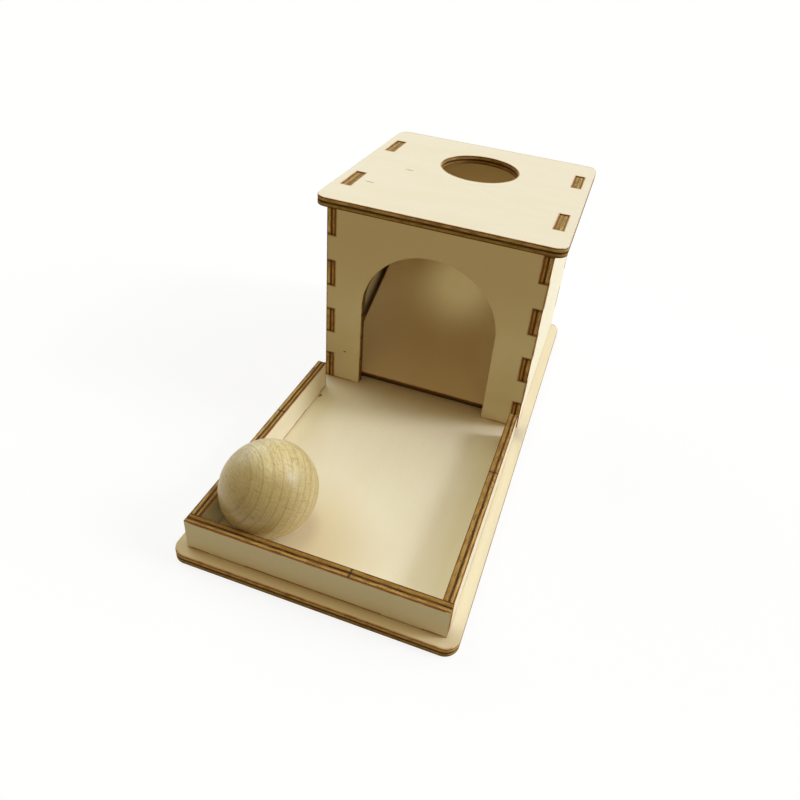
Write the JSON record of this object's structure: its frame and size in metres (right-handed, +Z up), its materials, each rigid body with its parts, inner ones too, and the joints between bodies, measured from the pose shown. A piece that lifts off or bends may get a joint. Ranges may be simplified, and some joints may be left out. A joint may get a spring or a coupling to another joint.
{
  "type": "object permanence box",
  "caption": "Laser-cut plywood tower with a round drop hole, inner ramp and arched doorway, on a base with a railed tray, and a loose wooden ball.",
  "frame": {"origin": "on the surface that the box stands on, under the middle of the overall width and length", "axes": "+Y from the tray towards the back of the tower, +X to the right seen from the tray, +Z up"},
  "size_m": [0.1342, 0.2806, 0.1225],
  "materials": {
    "plywood": "unfinished sanded plywood with laser-browned edges",
    "beech": "smooth waxed beech with a soft sheen"
  },
  "bodies": {
    "box": {"base_plate": "plywood", "front_rail": "plywood", "left_rail": "plywood", "right_rail": "plywood", "front_panel": "plywood", "left_side_panel": "plywood", "right_side_panel": "plywood", "back_panel": "plywood", "top_panel": "plywood", "ramp": "plywood"},
    "ball": {"ball": "beech"}
  },
  "joints": [
    {"name": "ball_lift", "type": "slide", "parent": "box", "child": "ball", "axis": [0, 0, 1], "range_m": [0, 0.13]}
  ]
}
